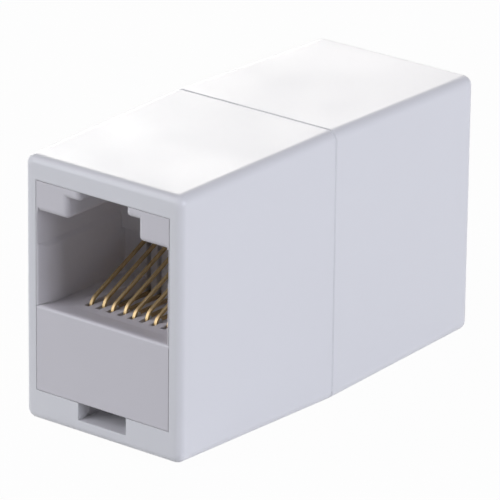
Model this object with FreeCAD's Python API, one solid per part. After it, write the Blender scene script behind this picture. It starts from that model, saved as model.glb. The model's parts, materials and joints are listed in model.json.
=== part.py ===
import FreeCAD, Part
import math
import os

from FreeCAD import Vector

# Inline coupler for two eight-way modular plugs. Two moulded half shells meet at mid length.
# Each holds a jack body with eight formed spring contacts, and eight short insulated leads
# join the contacts of one jack to those of the other, first way to first way.
#
# Frame, in mm: +X across the width, +Y along the length, +Z up, with the latch channels on top.
# The origin is under the seam, on the plane that the part stands on. The front jack opens
# towards -Y, and the rear jack is the front one turned half a turn about Z.

# ---- driving dimensions ----------------------------------------------------------------

# whole coupler
LENGTH = 35.0                # mouth to mouth
DRAFT_DEG = 1.1              # each half widens from its mouth to the seam
LONG_EDGE_RADIUS = 0.75      # the four edges along the length
MOUTH_EDGE_RADIUS = 0.6      # the edge round each end face
SEAM_BEVEL = 0.1             # bevel on each side of the seam, which leaves a fine V groove

# end face, stacked upwards from the underside of the mouth
SILL_HEIGHT = 2.4            # underside to the foot of the jack's front panel
PANEL_HEIGHT = 6.7           # front panel, up to the lip that the plug slides over
OPENING_HEIGHT = 7.3         # lip to the underside of the shoulders
LATCH_STEP_HEIGHT = 1.6      # wide part of the latch notch
LATCH_TOP_HEIGHT = 0.8       # narrow part of the latch notch
ROOF_BAND = 1.8              # shell above the notch

# end face, widths
GUIDE_WIDTH = 11.76          # between the guide walls, for an 11.68 mm plug
GUIDE_HEIGHT = 4.75          # guide walls, above the lip
SHOULDER_RELIEF = 0.17       # the opening widens by this each side, above the guide walls
RELIEF_SLOPE = 0.4           # height over which it widens
CHEEK = 0.35                 # jack wall beside the guide width, at the mouth
SIDE_BAND = 1.07             # shell beside the jack window
LATCH_STEP_WIDTH = 6.6
LATCH_TOP_WIDTH = 4.3
SLOT_WIDTH = 4.5             # tool slot under the front panel
SLOT_FLOOR = 1.05            # thickness of the shell under the slot

# shell walls and joints
BEZEL = 1.25                 # thickness of each end wall
SIDE_WALL = 0.8              # beside the jack body, at the mouth
ROOF_WALL = 1.3
FIT = 0.05                   # clearance of the jack body in the shell
WINDOW_FIT = 0.03            # clearance of its nose in the window
TONGUE_LENGTH = 1.2          # rim of the front shell that reaches into the rear shell
TONGUE_THICKNESS = 0.45
CATCH_HEIGHT = 0.3           # wedge on each side wall, behind the jack body
CATCH_LENGTH = 1.2
CATCH_TALL = 5.0

# jack body
JACK_DEPTH = 12.0            # mouth to the back of the body
PLUG_DEPTH = 9.3             # mouth to the wall that faces the plug's nose
UNDERCUT = 0.3               # the wall under that one stands back by this
LEAD_IN_WIDTH = 0.3          # rounded lead-in on the guide walls, across the coupler
LEAD_IN_DEPTH = 1.2          # and along it
RELIEF_LEAD_IN_WIDTH = 0.14  # the same on the walls above them
RELIEF_LEAD_IN_DEPTH = 0.6
LEAD_IN_EDGE = 0.45          # radius at the mouth end of a lead-in, as a part of its width
NOTCH_EDGE_RADIUS = 0.45     # front edges of the shoulders and of the latch notch
NOTCH_CORNER_RADIUS = 0.3    # their corners, seen from the front
LIP_RADIUS = 0.22
LIP_LENGTH = 0.5
LIP_RISE = 0.15              # lip above the deck
LIP_SLOPE = 1.2              # length of the ramp from the lip down to the deck
COMB_START = 2.5             # mouth to the front of the contact grooves
COMB_END = 4.0               # mouth to the back of the comb's teeth and the front of the well
WELL_MARGIN = 0.1            # well beyond the grooves at each side
GROOVE_WIDTH = 0.4
GROOVE_DEPTH = 1.2           # grooves and well, below the deck
GROOVE_FLOOR = 0.65          # plastic under the grooves
SLOT_DEPTH = 1.0             # slots in the back wall for the contact tips
LEDGE_CLEARANCE = 0.1        # arms to the ledge over the undercut
TIP_CLEARANCE = 0.2          # tips to the tops of their slots
JACK_WALL = 1.0              # round the hollow under the deck
PANEL_WALL = 1.3             # front panel, in front of that hollow
CHANNEL_DEPTH = 7.0          # mouth to the end of the tool channel behind the slot
TOWER_WALL = 0.9             # round the pocket in each block above the shoulders

# contacts
WAYS = 8
PITCH = 1.016
CONTACT_WIDTH = 0.25
CONTACT_THICKNESS = 0.2
BEND_RADIUS = 0.83           # front bends of the odd ways
BEND_STAGGER = 0.07          # added for the even ways, whose bends so stand further back
ARM_FOOT = 0.16              # mouth to where the arms, drawn on, would meet their tails
ARM_SLOPE_DEG = 25.4
TIP_ENTRY = 0.4              # tip past the undercut wall
TAIL_BEND_RADIUS = 0.5
TAIL_OUT = 0.9               # back of the jack to the upright tails

# splices and leads
SPLICE_GAP = 0.12            # between neighbouring splices
SPLICE_THICKNESS = 0.8
SPLICE_LENGTH = 2.0
SPLICE_RISE = 0.1            # tail bend to the splice
LEAD_DIAMETER = 0.8
LEAD_SIDES = 8               # the round insulation is drawn with this many flats
LEAD_STRIP = 0.1             # bare core between splice and insulation
LEAD_BEND_RADIUS = 2.4
LEAD_LOW_BEND_RADIUS = 1.3   # tightest bend, in the lowest lead
LEAD_ROOF_GAP = 0.25
CROSSING_ORDER = (1, 8, 2, 7, 3, 6, 4, 5)   # leads from the top level to the lowest

# ---- places that follow from them ----------------------------------------------------

HALF = LENGTH / 2
FLARE = HALF * math.tan(math.radians(DRAFT_DEG))
MOUTH_Y = -HALF

END_Z = FLARE
SILL_Z = END_Z + SILL_HEIGHT
LIP_Z = SILL_Z + PANEL_HEIGHT
CEILING_Z = LIP_Z + OPENING_HEIGHT
LATCH_STEP_Z = CEILING_Z + LATCH_STEP_HEIGHT
WINDOW_TOP_Z = LATCH_STEP_Z + LATCH_TOP_HEIGHT
END_TOP_Z = WINDOW_TOP_Z + ROOF_BAND
FLOOR_Z = END_Z + SLOT_FLOOR
ROOF_Z = END_TOP_Z - ROOF_WALL
GUIDE_TOP_Z = LIP_Z + GUIDE_HEIGHT
DECK_Z = LIP_Z - LIP_RISE

GUIDE_HALF = GUIDE_WIDTH / 2
WINDOW_HALF = GUIDE_HALF + CHEEK + WINDOW_FIT
END_HALF = WINDOW_HALF + SIDE_BAND
INNER_HALF = END_HALF - SIDE_WALL

GROOVE_Z = DECK_Z - GROOVE_DEPTH
TAIL_Z = GROOVE_Z + CONTACT_THICKNESS / 2
UNDERCUT_DEPTH = PLUG_DEPTH + UNDERCUT
TIP_DEPTH = UNDERCUT_DEPTH + TIP_ENTRY
TAIL_DEPTH = JACK_DEPTH + TAIL_OUT
SPLICE_Z = TAIL_Z + TAIL_BEND_RADIUS + SPLICE_RISE
SPLICE_TOP_Z = SPLICE_Z + SPLICE_LENGTH
LEAD_START_Z = SPLICE_TOP_Z + LEAD_STRIP
TOP_LEVEL_Z = ROOF_Z - LEAD_ROOF_GAP - LEAD_DIAMETER / 2
LOW_LEVEL_Z = LEAD_START_Z + LEAD_LOW_BEND_RADIUS
LEVEL_STEP = (TOP_LEVEL_Z - LOW_LEVEL_Z) / (WAYS - 1)

ARM_SLOPE = math.radians(ARM_SLOPE_DEG)
CUT = 1.0                    # how far a cutting solid runs past the face it opens


def way_x(way):
    """X of one contact in the front jack, ways numbered from 1."""
    return (way - (WAYS + 1) / 2) * PITCH


def bend_radius(way):
    return BEND_RADIUS + BEND_STAGGER * (way % 2 == 0)


def bend_depth(way):
    """Depth of the front bend's centre, where it touches both the tail's line and the arm's."""
    return ARM_FOOT + bend_radius(way) / math.tan(ARM_SLOPE / 2)


def arm_z(depth):
    """Height of the arms' centre lines, which lie in one plane, at a depth from the mouth."""
    return TAIL_Z + (depth - ARM_FOOT) * math.tan(ARM_SLOPE)


ARM_HALF_HEIGHT = CONTACT_THICKNESS / 2 / math.cos(ARM_SLOPE)
LEDGE_Z = arm_z(UNDERCUT_DEPTH) + ARM_HALF_HEIGHT + LEDGE_CLEARANCE
TIP_SLOT_TOP_Z = arm_z(TIP_DEPTH) + ARM_HALF_HEIGHT + TIP_CLEARANCE


# ---- helpers -------------------------------------------------------------------------

def slab(half_width, depth0, depth1, z0, z1, x=0.0):
    """Box centred on x, between two depths from the front mouth."""
    corner = Vector(x - half_width, MOUTH_Y + depth0, z0)
    return Part.makeBox(2 * half_width, depth1 - depth0, z1 - z0, corner)


def prism(points, half_width, x=0.0):
    """Side outline of (depth, z) points, pulled out in X about x."""
    corners = [Vector(x - half_width, MOUTH_Y + depth, z) for depth, z in points]
    face = Part.Face(Part.makePolygon(corners + corners[:1]))
    return face.extrude(Vector(2 * half_width, 0, 0))


def front_prism(points, depth0, depth1):
    """Front outline of (x, z) points, pulled back between two depths."""
    corners = [Vector(x, MOUTH_Y + depth0, z) for x, z in points]
    face = Part.Face(Part.makePolygon(corners + corners[:1]))
    return face.extrude(Vector(0, depth1 - depth0, 0))


def pick_edges(shape, wanted):
    """Edges whose two ends both pass a test."""
    return [edge for edge in shape.Edges
            if len(edge.Vertexes) == 2 and all(wanted(v.Point) for v in edge.Vertexes)]


def near(a, b):
    return abs(a - b) < 1e-4


def turned(shape):
    """The same piece at the rear end."""
    copy = shape.copy()
    copy.rotate(Vector(0, 0, 0), Vector(0, 0, 1), 180)
    return copy


# ---- shells --------------------------------------------------------------------------

def shell_block():
    """Outside of the front half: a tapered block with rounded edges, beveled at the seam."""
    block = Part.makeWedge(-END_HALF, MOUTH_Y, END_Z, 0, -END_HALF - FLARE,
                           END_HALF, 0, END_TOP_Z, END_TOP_Z + FLARE, END_HALF + FLARE)
    long_edges = [e for e in block.Edges if not near(e.Vertexes[0].Y, e.Vertexes[1].Y)]
    block = block.makeFillet(LONG_EDGE_RADIUS, long_edges)
    block = block.makeFillet(MOUTH_EDGE_RADIUS, pick_edges(block, lambda p: near(p.y, MOUTH_Y)))
    return block.makeChamfer(SEAM_BEVEL, pick_edges(block, lambda p: near(p.y, 0)))


def catch(side):
    """Wedge on a side wall that the jack body snaps past."""
    wall = side * (INNER_HALF + CUT / 2)
    tip = side * (INNER_HALF - CATCH_HEIGHT)
    foot = side * INNER_HALF
    y0 = MOUTH_Y + JACK_DEPTH
    y1 = y0 + CATCH_LENGTH
    z0 = (FLOOR_Z + ROOF_Z - CATCH_TALL) / 2
    corners = [Vector(wall, y0, z0), Vector(tip, y0, z0), Vector(foot, y1, z0), Vector(wall, y1, z0)]
    return Part.Face(Part.makePolygon(corners + corners[:1])).extrude(Vector(0, 0, CATCH_TALL))


def rim(grow, depth0, depth1):
    """Block as large as the inside of the shell and grown by an amount all round."""
    return slab(INNER_HALF + grow, depth0, depth1, FLOOR_Z - grow, ROOF_Z + grow)


def half_shell(tongue):
    """Front half of the case. The half with the tongue reaches into the one without."""
    shell = shell_block()
    shell = shell.cut(rim(0, BEZEL, HALF + CUT))
    shell = shell.cut(slab(WINDOW_HALF, -CUT, BEZEL + CUT, SILL_Z, WINDOW_TOP_Z))
    shell = shell.cut(slab(SLOT_WIDTH / 2, -CUT, BEZEL + CUT, FLOOR_Z, SILL_Z + CUT))
    for side in (-1, 1):
        shell = shell.fuse(catch(side))
    if tongue:
        ring = rim(TONGUE_THICKNESS, HALF, HALF + TONGUE_LENGTH)
        shell = shell.fuse(ring.cut(rim(0, HALF - CUT, HALF + TONGUE_LENGTH + CUT)))
    else:
        shell = shell.cut(rim(TONGUE_THICKNESS + FIT, HALF - TONGUE_LENGTH - FIT, HALF + CUT))
    return shell.removeSplitter()


# ---- jack body -----------------------------------------------------------------------

def jack_block():
    """Body behind the end wall, with a nose that fills the window."""
    nose = slab(WINDOW_HALF - WINDOW_FIT, 0, BEZEL + CUT, SILL_Z + WINDOW_FIT, WINDOW_TOP_Z - WINDOW_FIT)
    body = slab(INNER_HALF - FIT, BEZEL, JACK_DEPTH, FLOOR_Z, ROOF_Z - FIT)
    return nose.fuse(body).removeSplitter()


def latch_opening():
    """Upper part of the mouth: the part above the guide walls, and the latch notch over it."""
    wide = GUIDE_HALF + SHOULDER_RELIEF
    foot_z = GUIDE_TOP_Z - RELIEF_SLOPE
    outline = [(-wide, CEILING_Z), (-wide, GUIDE_TOP_Z), (-GUIDE_HALF, foot_z),
               (GUIDE_HALF, foot_z), (wide, GUIDE_TOP_Z), (wide, CEILING_Z)]
    high = front_prism(outline, -CUT, PLUG_DEPTH)
    step = slab(LATCH_STEP_WIDTH / 2, -CUT, BEZEL + CUT, CEILING_Z, LATCH_STEP_Z)
    top = slab(LATCH_TOP_WIDTH / 2, -CUT, BEZEL + CUT, LATCH_STEP_Z, WINDOW_TOP_Z)
    channel = slab(LATCH_STEP_WIDTH / 2, BEZEL, PLUG_DEPTH, CEILING_Z, ROOF_Z)
    return high.fuse([step, top, channel]).removeSplitter()


def plug_room():
    """Lower part of the mouth, between the guide walls, down to the deck behind the lip."""
    return prism([(-CUT, LIP_Z), (LIP_LENGTH, LIP_Z), (LIP_LENGTH + LIP_SLOPE, DECK_Z),
                  (UNDERCUT_DEPTH, DECK_Z), (UNDERCUT_DEPTH, LEDGE_Z), (PLUG_DEPTH, LEDGE_Z),
                  (PLUG_DEPTH, GUIDE_TOP_Z), (-CUT, GUIDE_TOP_Z)], GUIDE_HALF)


def lead_in(wall_x, z0, z1, width, depth):
    """What rounds the front edge of a side wall away: a wide arc off the wall, then a tight one."""
    hand = math.copysign(1, wall_x)
    tight = LEAD_IN_EDGE * width
    wide = ((width ** 2 + depth ** 2) / 2 - depth * tight) / (width - tight)
    turn = math.asin((depth - tight) / (wide - tight))

    def place(outward, back):
        return Vector(wall_x + hand * outward, MOUTH_Y + back, z0)

    def on_wide(angle):
        return place(wide * (1 - math.cos(angle)), depth - wide * math.sin(angle))

    def on_tight(angle):
        return place(width - tight * math.cos(angle), tight * (1 - math.sin(angle)))

    edges = [Part.Arc(on_wide(0), on_wide(turn / 2), on_wide(turn)),
             Part.Arc(on_tight(turn), on_tight((turn + math.pi / 2) / 2), on_tight(math.pi / 2)),
             Part.LineSegment(on_tight(math.pi / 2), place(0, 0)),
             Part.LineSegment(place(0, 0), on_wide(0))]
    outline = Part.Wire([edge.toShape() for edge in edges])
    return Part.Face(outline).extrude(Vector(0, 0, z1 - z0))


def lead_ins():
    """Lead-ins of the guide walls and of the walls above them."""
    low = (LIP_Z, GUIDE_TOP_Z, LEAD_IN_WIDTH, LEAD_IN_DEPTH)
    high = (GUIDE_TOP_Z, CEILING_Z, RELIEF_LEAD_IN_WIDTH, RELIEF_LEAD_IN_DEPTH)
    walls = ((GUIDE_HALF, low), (GUIDE_HALF + SHOULDER_RELIEF, high))
    return [lead_in(side * x, *sizes) for side in (-1, 1) for x, sizes in walls]


def lip_round():
    """What rounds the front edge of the lip away."""
    block = slab(WINDOW_HALF, 0, LIP_RADIUS, LIP_Z - LIP_RADIUS, LIP_Z)
    centre = Vector(-WINDOW_HALF, MOUTH_Y + LIP_RADIUS, LIP_Z - LIP_RADIUS)
    return block.cut(Part.makeCylinder(LIP_RADIUS, 2 * WINDOW_HALF, centre, Vector(1, 0, 0)))


def contact_room(way):
    """Groove for one contact's tail and slot for its tip."""
    x = way_x(way)
    groove = slab(GROOVE_WIDTH / 2, COMB_START, JACK_DEPTH + CUT, GROOVE_Z, DECK_Z, x)
    slot = slab(GROOVE_WIDTH / 2, UNDERCUT_DEPTH - CUT, UNDERCUT_DEPTH + SLOT_DEPTH,
                GROOVE_Z, TIP_SLOT_TOP_Z, x)
    return groove.fuse(slot)


def well():
    """Well under the sprung arms, from the teeth of the comb to the wall behind them."""
    half = (WAYS - 1) / 2 * PITCH + GROOVE_WIDTH / 2 + WELL_MARGIN
    return slab(half, COMB_END, UNDERCUT_DEPTH, GROOVE_Z, DECK_Z + CUT)


def under_deck():
    """Hollow behind the front panel, open at the back, and the tool channel under it."""
    half = INNER_HALF - FIT - JACK_WALL
    hollow = slab(half, PANEL_WALL, JACK_DEPTH + CUT, SILL_Z + JACK_WALL, GROOVE_Z - GROOVE_FLOOR)
    channel = slab(SLOT_WIDTH / 2, BEZEL - CUT, CHANNEL_DEPTH, FLOOR_Z - CUT, SILL_Z + FIT)
    return [hollow, channel]


def tower_pockets():
    """Pockets in the blocks beside the latch channel, open at the top."""
    inside = LATCH_STEP_WIDTH / 2 + TOWER_WALL
    outside = INNER_HALF - FIT - TOWER_WALL
    middle = (inside + outside) / 2
    return [slab((outside - inside) / 2, BEZEL + TOWER_WALL, JACK_DEPTH - TOWER_WALL,
                 CEILING_Z + TOWER_WALL, ROOF_Z, side * middle) for side in (-1, 1)]


def notch_corners(jack):
    """Corners of the shoulders and of the latch notch that stick into the opening, front to back."""
    def on_corner(p):
        return (near(abs(p.x), LATCH_STEP_WIDTH / 2) and near(p.z, CEILING_Z)
                or near(abs(p.x), LATCH_TOP_WIDTH / 2) and near(p.z, LATCH_STEP_Z))

    return pick_edges(jack, on_corner)


def mouth_edges(jack):
    """Front edges of the shoulders and of the latch notch."""
    def on_mouth(p):
        reach = GUIDE_HALF + SHOULDER_RELIEF
        inside = abs(p.x) < reach or near(abs(p.x), reach)
        return near(p.y, MOUTH_Y) and inside and (p.z > CEILING_Z or near(p.z, CEILING_Z))

    return pick_edges(jack, on_mouth)


def jack_body():
    """Moulded body of the front jack."""
    jack = jack_block().cut(latch_opening())
    jack = jack.makeFillet(NOTCH_CORNER_RADIUS, notch_corners(jack))
    jack = jack.makeFillet(NOTCH_EDGE_RADIUS, mouth_edges(jack))
    jack = jack.cut([plug_room(), lip_round(), well()] + lead_ins())
    jack = jack.cut(under_deck() + tower_pockets())
    jack = jack.cut([contact_room(way) for way in range(1, WAYS + 1)])
    return jack.removeSplitter()


# ---- contacts, splices and leads -----------------------------------------------------

def strip(start, heading_deg, moves, x):
    """Flat strip bent along (depth, z) moves: ("run", length) or ("turn", radius, degrees)."""
    offset = CONTACT_THICKNESS / 2
    place = Vector(0, MOUTH_Y + start[0], start[1])
    angle = math.radians(heading_deg)
    sides = {1: [], -1: []}

    def normal(a):
        return Vector(0, -math.sin(a), math.cos(a))

    def edge_point(centre, a, side):
        return centre + normal(a) * (side * offset)

    first = [edge_point(place, angle, side) for side in (1, -1)]
    for move in moves:
        if move[0] == "run":
            target = place + Vector(0, math.cos(angle), math.sin(angle)) * move[1]
            for side in (1, -1):
                line = Part.LineSegment(edge_point(place, angle, side), edge_point(target, angle, side))
                sides[side].append(line.toShape())
            place = target
        else:
            radius, sweep = move[1], math.radians(move[2])
            hand = 1 if sweep > 0 else -1
            centre = place + normal(angle) * (hand * radius)
            for side in (1, -1):
                reach = radius - hand * side * offset
                points = [centre - normal(angle + sweep * part) * (hand * reach) for part in (0, 0.5, 1)]
                sides[side].append(Part.Arc(*points).toShape())
            angle += sweep
            place = centre - normal(angle) * (hand * radius)
    last = [edge_point(place, angle, side) for side in (1, -1)]
    caps = [Part.LineSegment(*first).toShape(), Part.LineSegment(*last).toShape()]
    outline = Part.Wire(Part.__sortEdges__(sides[1] + sides[-1] + caps))
    solid = Part.Face(outline).extrude(Vector(CONTACT_WIDTH, 0, 0))
    solid.translate(Vector(x - CONTACT_WIDTH / 2, 0, 0))
    return solid


def contact(way):
    """Upright tail, run along the groove, bend over the front, sprung arm up to the tip."""
    rise = SPLICE_Z + SPLICE_LENGTH / 2 - (TAIL_Z + TAIL_BEND_RADIUS)
    run = TAIL_DEPTH - TAIL_BEND_RADIUS - bend_depth(way)
    leave_depth = bend_depth(way) - bend_radius(way) * math.sin(ARM_SLOPE)
    arm = (TIP_DEPTH - leave_depth) / math.cos(ARM_SLOPE)
    moves = [("run", rise), ("turn", TAIL_BEND_RADIUS, -90), ("run", run),
             ("turn", bend_radius(way), ARM_SLOPE_DEG - 180), ("run", arm)]
    return strip((TAIL_DEPTH, SPLICE_Z + SPLICE_LENGTH / 2), -90, moves, way_x(way))


def splice(way):
    """Crimped sleeve on the upright tail of a contact and the bare core of a lead."""
    half = (PITCH - SPLICE_GAP) / 2
    sleeve = slab(half, TAIL_DEPTH - SPLICE_THICKNESS / 2, TAIL_DEPTH + SPLICE_THICKNESS / 2,
                  SPLICE_Z, SPLICE_TOP_Z, way_x(way))
    bore = slab(CONTACT_WIDTH / 2, TAIL_DEPTH - CONTACT_THICKNESS / 2, TAIL_DEPTH + CONTACT_THICKNESS / 2,
                SPLICE_Z - CUT, SPLICE_TOP_Z + CUT, way_x(way))
    return sleeve.cut(bore)


def lead_half(foot, inward, level):
    """Insulation from one foot up, round the bend and in to the middle of the crossing."""
    up = Vector(0, 0, 1)
    radius = min(LEAD_BEND_RADIUS, level - LEAD_START_Z)
    bend_start = Vector(foot.x, foot.y, level - radius)
    centre = bend_start + inward * radius
    aside = up.cross(inward)
    corners = []
    for side in range(LEAD_SIDES + 1):
        angle = 2 * math.pi * (side + 0.5) / LEAD_SIDES
        out = inward * math.cos(angle) + aside * math.sin(angle)
        corners.append(bend_start + out * (LEAD_DIAMETER / 2))
    section = Part.Face(Part.makePolygon(corners))
    half = section.revolve(centre, aside, 90)
    column = level - radius - LEAD_START_Z
    if not near(column, 0):
        half = half.fuse(section.extrude(up * -column))
    section.rotate(centre, aside, 90)
    span = math.hypot(foot.x, foot.y) - radius
    return half.fuse(section.extrude(inward * span))


def lead(way):
    """Insulated lead: up from the front splice, across at its own level, down to the rear one."""
    foot = Vector(way_x(way), MOUTH_Y + TAIL_DEPTH, LEAD_START_Z)
    level = TOP_LEVEL_Z - CROSSING_ORDER.index(way) * LEVEL_STEP
    inward = Vector(-foot.x, -foot.y, 0).normalize()
    half = lead_half(foot, inward, level)
    core = LEAD_STRIP + SPLICE_LENGTH / 2
    corner = foot - Vector(CONTACT_WIDTH / 2, CONTACT_THICKNESS / 2, core)
    half = half.fuse(Part.makeBox(CONTACT_WIDTH, CONTACT_THICKNESS, core, corner))
    return half.fuse(turned(half)).removeSplitter()


# ---- the assembly --------------------------------------------------------------------

def assembly():
    """Every piece by node name."""
    jack = jack_body()
    pieces = {
        "front_shell": half_shell(tongue=True),
        "rear_shell": turned(half_shell(tongue=False)),
        "front_jack_body": jack,
        "rear_jack_body": turned(jack),
    }
    for way in range(1, WAYS + 1):
        spring = contact(way)
        sleeve = splice(way)
        pieces[f"front_contact_{way}"] = spring
        pieces[f"rear_contact_{way}"] = turned(spring)
        pieces[f"front_splice_{way}"] = sleeve
        pieces[f"rear_splice_{way}"] = turned(sleeve)
        pieces[f"lead_{way}"] = lead(way)
    return pieces


def main():
    os.makedirs("parts", exist_ok=True)
    for name, shape in assembly().items():
        shape.exportStep(f"parts/{name}.step")


main()
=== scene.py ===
import bpy
import json
import math
from mathutils import Matrix, Vector


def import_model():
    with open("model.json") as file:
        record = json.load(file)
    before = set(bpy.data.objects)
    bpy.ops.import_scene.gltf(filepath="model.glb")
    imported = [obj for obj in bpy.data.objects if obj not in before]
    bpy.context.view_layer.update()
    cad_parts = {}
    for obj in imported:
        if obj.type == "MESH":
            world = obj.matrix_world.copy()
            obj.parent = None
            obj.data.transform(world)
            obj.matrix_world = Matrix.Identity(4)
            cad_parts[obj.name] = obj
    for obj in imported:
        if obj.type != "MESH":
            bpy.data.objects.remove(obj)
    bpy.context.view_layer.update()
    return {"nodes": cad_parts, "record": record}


# The coupler's looks: moulded white plastic, gold plated contacts and coloured leads, under soft
# studio light on a white floor. Lengths are in metres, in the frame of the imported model.

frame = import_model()
NODES = frame["nodes"]
ENDS = ("front", "rear")
WAYS = range(1, 9)
MM = 0.001


# ---- camera --------------------------------------------------------------------------

CAMERA_AZIMUTH = math.radians(38.283)      # from the front mouth towards the +X side
CAMERA_ELEVATION = math.radians(20.887)
CAMERA_ROLL = math.radians(0.652)
CAMERA_DISTANCE = 390.91 * MM
CAMERA_TARGET = Vector((0, 0, 11.700 * MM))
CAMERA_SHIFT_RIGHT = -0.2314 * MM
CAMERA_SHIFT_UP = -1.465 * MM
CAMERA_LENS = 377.6                        # on a sensor of SENSOR_WIDTH, both in mm
SENSOR_WIDTH = 36.0
CAMERA_NEAR = 0.01
CAMERA_FAR = 20.0


def camera():
    """Camera at the viewing angle of the product picture."""
    level = math.cos(CAMERA_ELEVATION)
    back = Vector((math.sin(CAMERA_AZIMUTH) * level, -math.cos(CAMERA_AZIMUTH) * level,
                   math.sin(CAMERA_ELEVATION)))
    flat_right = (-back).cross(Vector((0, 0, 1))).normalized()
    flat_up = flat_right.cross(-back)
    right = flat_right * math.cos(CAMERA_ROLL) + flat_up * math.sin(CAMERA_ROLL)
    up = flat_up * math.cos(CAMERA_ROLL) - flat_right * math.sin(CAMERA_ROLL)
    place = (CAMERA_TARGET + back * CAMERA_DISTANCE
             + right * CAMERA_SHIFT_RIGHT + up * CAMERA_SHIFT_UP)
    data = bpy.data.cameras.new("camera")
    data.lens = CAMERA_LENS
    data.sensor_width = SENSOR_WIDTH
    data.clip_start = CAMERA_NEAR
    data.clip_end = CAMERA_FAR
    cam = bpy.data.objects.new("camera", data)
    cam.matrix_world = Matrix.Translation(place) @ Matrix((right, up, back)).transposed().to_4x4()
    bpy.context.scene.collection.objects.link(cam)
    bpy.context.scene.camera = cam


# ---- node helpers --------------------------------------------------------------------

NOISE_LOW = 0.3              # most of a noise texture's values are between these two
NOISE_HIGH = 0.7


class Recipe:
    """The node tree of a material or the world, with short calls for the nodes used here."""

    def __init__(self, data, output="OutputMaterial"):
        data.use_nodes = True
        self.data = data
        self.nodes = data.node_tree.nodes
        self.links = data.node_tree.links
        self.nodes.clear()
        self.output = self.node(output)

    def node(self, kind, **settings):
        made = self.nodes.new("ShaderNode" + kind)
        for key, value in settings.items():
            setattr(made, key, value)
        return made

    def link(self, source, target):
        self.links.new(source, target)

    def place(self, stretch=(1, 1, 1)):
        """Object coordinates, stretched."""
        coordinates = self.node("TexCoord")
        mapping = self.node("Mapping")
        mapping.inputs["Scale"].default_value = stretch
        self.link(coordinates.outputs["Object"], mapping.inputs["Vector"])
        return mapping.outputs["Vector"]

    def noise(self, size, where, detail=3.0, roughness=0.5):
        """Noise whose features are about the given size, in metres."""
        made = self.node("TexNoise")
        made.inputs["Scale"].default_value = 1 / size
        made.inputs["Detail"].default_value = detail
        made.inputs["Roughness"].default_value = roughness
        self.link(where, made.inputs["Vector"])
        return made.outputs["Fac"]

    def spread(self, value, low, high):
        """Noise mapped to low to high."""
        made = self.node("MapRange")
        made.inputs["From Min"].default_value = NOISE_LOW
        made.inputs["From Max"].default_value = NOISE_HIGH
        made.inputs["To Min"].default_value = low
        made.inputs["To Max"].default_value = high
        self.link(value, made.inputs["Value"])
        return made.outputs["Result"]

    def tint(self, value, dark, light):
        """A 0 to 1 value as a colour between two others."""
        made = self.node("Mix", data_type="RGBA")
        made.inputs["A"].default_value = (*dark, 1)
        made.inputs["B"].default_value = (*light, 1)
        self.link(value, made.inputs["Factor"])
        return made.outputs["Result"]

    def rounded(self, radius):
        """Normals that look rounded over the edges by the given radius."""
        made = self.node("Bevel")
        made.inputs["Radius"].default_value = radius
        return made.outputs["Normal"]

    def bump(self, height, distance, strength=1.0, normal=None):
        """Normals raised by the height, on top of other normals where they are given."""
        made = self.node("Bump")
        made.inputs["Strength"].default_value = strength
        made.inputs["Distance"].default_value = distance
        self.link(height, made.inputs["Height"])
        if normal is not None:
            self.link(normal, made.inputs["Normal"])
        return made.outputs["Normal"]

    def surface(self, shader):
        """The shader as the output."""
        self.link(shader, self.output.inputs["Surface"])

    def blend(self, share, first, second):
        """Two shaders mixed into the output: all the first at share 0, all the second at 1."""
        made = self.node("MixShader")
        self.link(share, made.inputs["Fac"])
        self.link(first, made.inputs[1])
        self.link(second, made.inputs[2])
        self.surface(made.outputs["Shader"])


# ---- materials -----------------------------------------------------------------------

SHELL_WHITE = (0.81, 0.81, 0.82)
SHELL_ROUGHNESS = 0.36
# Painted shade: the jack is given a greyer, slightly purple white than the shell, so its cavity
# renders darker and tinted; it is the same white plastic as the shell.
JACK_WHITE_WITH_PAINTED_SHADE = (0.70, 0.68, 0.70)
JACK_ROUGHNESS = 0.38
PLASTIC_IOR = 1.5
MOULD_CLOUD_SIZE = 6 * MM
MOULD_GRAIN_SIZE = 0.12 * MM
MOULD_RIPPLE_HEIGHT = 0.02 * MM
MOULD_GRAIN_HEIGHT = 0.0015 * MM
MOULD_EDGE_RADIUS = 0.15 * MM

GOLD = (0.60, 0.45, 0.24)
GOLD_ROUGHNESS = 0.52
TIN = (0.72, 0.72, 0.70)
TIN_ROUGHNESS = 0.35
STREAK_SIZE = 0.05 * MM
STREAK_HEIGHT = 0.002 * MM
STREAK_STRETCH = (1, 0.06, 0.06)           # streaks run along the strip
BLOTCH_SIZE = 0.8 * MM
PLATED_EDGE_RADIUS = 0.06 * MM

WIRE_CLOUD_SIZE = 1.5 * MM
WIRE_GRAIN_SIZE = 0.1 * MM
WIRE_GRAIN_HEIGHT = 0.002 * MM
WIRE_ROUGHNESS = (0.42, 0.55)


def shade(base, amount):
    """The same colour, lighter or darker by a factor."""
    return tuple(channel * amount for channel in base)


def moulded_white(name, base, rough):
    """Semi-gloss moulded plastic: a fine grain, slow ripples of the mould and uneven gloss."""
    r = Recipe(bpy.data.materials.new(name))
    where = r.place()
    shader = r.node("BsdfPrincipled")
    cloud = r.noise(MOULD_CLOUD_SIZE, where)
    grain = r.noise(MOULD_GRAIN_SIZE, where, detail=2.0)
    r.link(r.tint(cloud, shade(base, 0.985), base), shader.inputs["Base Color"])
    r.link(r.spread(cloud, rough - 0.03, rough + 0.04), shader.inputs["Roughness"])
    ripple = r.bump(cloud, MOULD_RIPPLE_HEIGHT, 0.4, r.rounded(MOULD_EDGE_RADIUS))
    r.link(r.bump(grain, MOULD_GRAIN_HEIGHT, 1.0, ripple), shader.inputs["Normal"])
    shader.inputs["IOR"].default_value = PLASTIC_IOR
    r.surface(shader.outputs["BSDF"])
    return r.data


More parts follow.
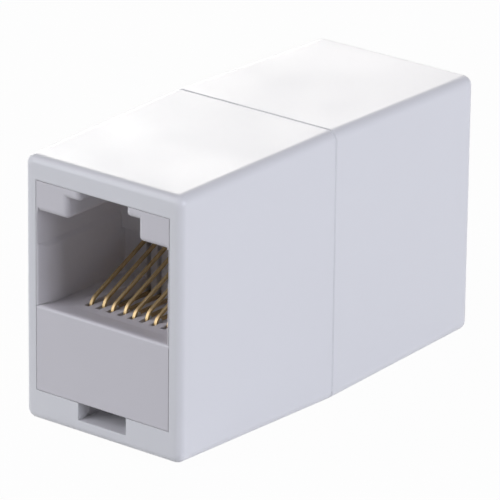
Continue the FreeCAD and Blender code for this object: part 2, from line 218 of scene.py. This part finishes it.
def plated(name, base, rough):
    """Drawn and plated metal, with fine streaks along its length."""
    r = Recipe(bpy.data.materials.new(name))
    streaks = r.noise(STREAK_SIZE, r.place(STREAK_STRETCH), detail=2.0)
    blotches = r.noise(BLOTCH_SIZE, r.place())
    shader = r.node("BsdfPrincipled")
    shader.inputs["Metallic"].default_value = 1.0
    r.link(r.tint(blotches, shade(base, 0.86), base), shader.inputs["Base Color"])
    r.link(r.spread(streaks, rough - 0.06, rough + 0.08), shader.inputs["Roughness"])
    metal = r.bump(streaks, STREAK_HEIGHT, 0.8, r.rounded(PLATED_EDGE_RADIUS))
    r.link(metal, shader.inputs["Normal"])
    r.surface(shader.outputs["BSDF"])
    return r.data


def insulation(name, base):
    """Extruded wire insulation with a slight grain."""
    r = Recipe(bpy.data.materials.new(name))
    where = r.place()
    cloud = r.noise(WIRE_CLOUD_SIZE, where)
    shader = r.node("BsdfPrincipled")
    r.link(r.tint(cloud, shade(base, 0.9), base), shader.inputs["Base Color"])
    r.link(r.spread(cloud, *WIRE_ROUGHNESS), shader.inputs["Roughness"])
    grain = r.noise(WIRE_GRAIN_SIZE, where)
    r.link(r.bump(grain, WIRE_GRAIN_HEIGHT), shader.inputs["Normal"])
    r.surface(shader.outputs["BSDF"])
    return r.data


def finish(node, material):
    """Gives a CAD node's object one material."""
    obj = NODES[node]
    obj.data.materials.clear()
    obj.data.materials.append(material)


SLOT_COLOURS = {m["slot"]: tuple(m["base_color"][:3]) for m in frame["record"]["materials"]}


def dress():
    """Materials for every CAD node."""
    shell = moulded_white("shell_plastic", SHELL_WHITE, SHELL_ROUGHNESS)
    # the jack's darker, tinted base colour is painted shade for its cavity
    jack = moulded_white("jack_plastic", JACK_WHITE_WITH_PAINTED_SHADE, JACK_ROUGHNESS)
    gold = plated("gold_plating", GOLD, GOLD_ROUGHNESS)
    tin = plated("tin_plating", TIN, TIN_ROUGHNESS)
    slots = {part["node"]: part["material_slot"] for part in frame["record"]["subparts"]}
    for end in ENDS:
        finish(f"{end}_shell", shell)
        finish(f"{end}_jack_body", jack)
        for way in WAYS:
            finish(f"{end}_contact_{way}", gold)
            finish(f"{end}_splice_{way}", tin)
    for way in WAYS:
        slot = slots[f"lead_{way}"]
        finish(f"lead_{way}", insulation(slot, SLOT_COLOURS[slot]))


# ---- stage ---------------------------------------------------------------------------

FLOOR_SIZE = 6.0
FLOOR_COLOUR = (0.6, 0.6, 0.6)   # of the light that the floor sends back
FLOOR_WHITE = 0.975          # how much of the seen floor is plain white
WORLD_COLOUR = (1.0, 1.0, 1.0)
WORLD_LIGHT = 0.05
LIT_CENTRE = Vector((0, 0, 11 * MM))


def seen(r):
    """1 for camera, glossy and transmission rays, 0 for the rays that light the object."""
    path = r.node("LightPath")
    total = path.outputs["Is Camera Ray"]
    for kind in ("Is Glossy Ray", "Is Transmission Ray"):
        either = r.node("Math", operation="MAXIMUM")
        r.link(total, either.inputs[0])
        r.link(path.outputs[kind], either.inputs[1])
        total = either.outputs["Value"]
    return total


def floor():
    """Floor under the coupler: nearly plain white where it is seen, the rest takes the shadow."""
    bpy.ops.mesh.primitive_plane_add(size=FLOOR_SIZE, location=(0, 0, 0))
    plane = bpy.context.object
    plane.name = "floor"
    r = Recipe(bpy.data.materials.new("floor_white"))
    diffuse = r.node("BsdfDiffuse")
    diffuse.inputs["Color"].default_value = (*FLOOR_COLOUR, 1)
    white = r.node("Emission")
    share = r.node("Math", operation="MULTIPLY")
    share.inputs[1].default_value = FLOOR_WHITE
    r.link(seen(r), share.inputs[0])
    r.blend(share.outputs["Value"], diffuse.outputs["BSDF"], white.outputs["Emission"])
    plane.data.materials.append(r.data)


def world():
    """Even studio surround: dim for light on the object, white where it is seen or mirrored."""
    made = bpy.data.worlds.new("studio")
    bpy.context.scene.world = made
    r = Recipe(made, "OutputWorld")
    dim = r.node("Background")
    dim.inputs["Color"].default_value = (*WORLD_COLOUR, 1)
    dim.inputs["Strength"].default_value = WORLD_LIGHT
    white = r.node("Background")
    r.blend(seen(r), dim.outputs["Background"], white.outputs["Background"])


def lamp(name, direction, distance, size, power, colour):
    """Soft box in a direction from the coupler, facing it."""
    data = bpy.data.lights.new(name, "AREA")
    data.shape = "RECTANGLE"
    data.size, data.size_y = size
    data.energy = power
    data.color = colour
    obj = bpy.data.objects.new(name, data)
    out = Vector(direction).normalized()
    obj.location = LIT_CENTRE + out * distance
    obj.rotation_euler = (-out).to_track_quat("-Z", "Y").to_euler()
    bpy.context.scene.collection.objects.link(obj)


# A box behind that the top mirrors, one each side, and two small ones in front: direction,
# distance in metres, size in metres, power in watts, colour.
BOXES = {
    "back_box": ((-0.62, 0.76, 0.37), 1.2, (0.8, 0.5), 3.85, (1.0, 0.97, 0.935)),
    "left_box": ((-0.80, 0.50, 0.25), 1.2, (0.8, 0.6), 3.8, (0.987, 1.0, 0.93)),
    "right_box": ((1.0, 0.08, 0.20), 1.2, (0.8, 0.6), 11.55, (0.87, 0.89, 1.0)),
    "front_left_box": ((-0.56, -0.80, 0.15), 0.6, (0.28, 0.22), 0.89, (0.895, 0.95, 1.0)),
    "high_front_box": ((-0.42, -0.65, 0.66), 0.8, (0.5, 0.5), 2.7, (0.90, 0.89, 0.99)),
}


def lights():
    """All the soft boxes."""
    for name, settings in BOXES.items():
        lamp(name, *settings)


bpy.context.scene.view_settings.view_transform = "Standard"
camera()
dress()
world()
floor()
lights()
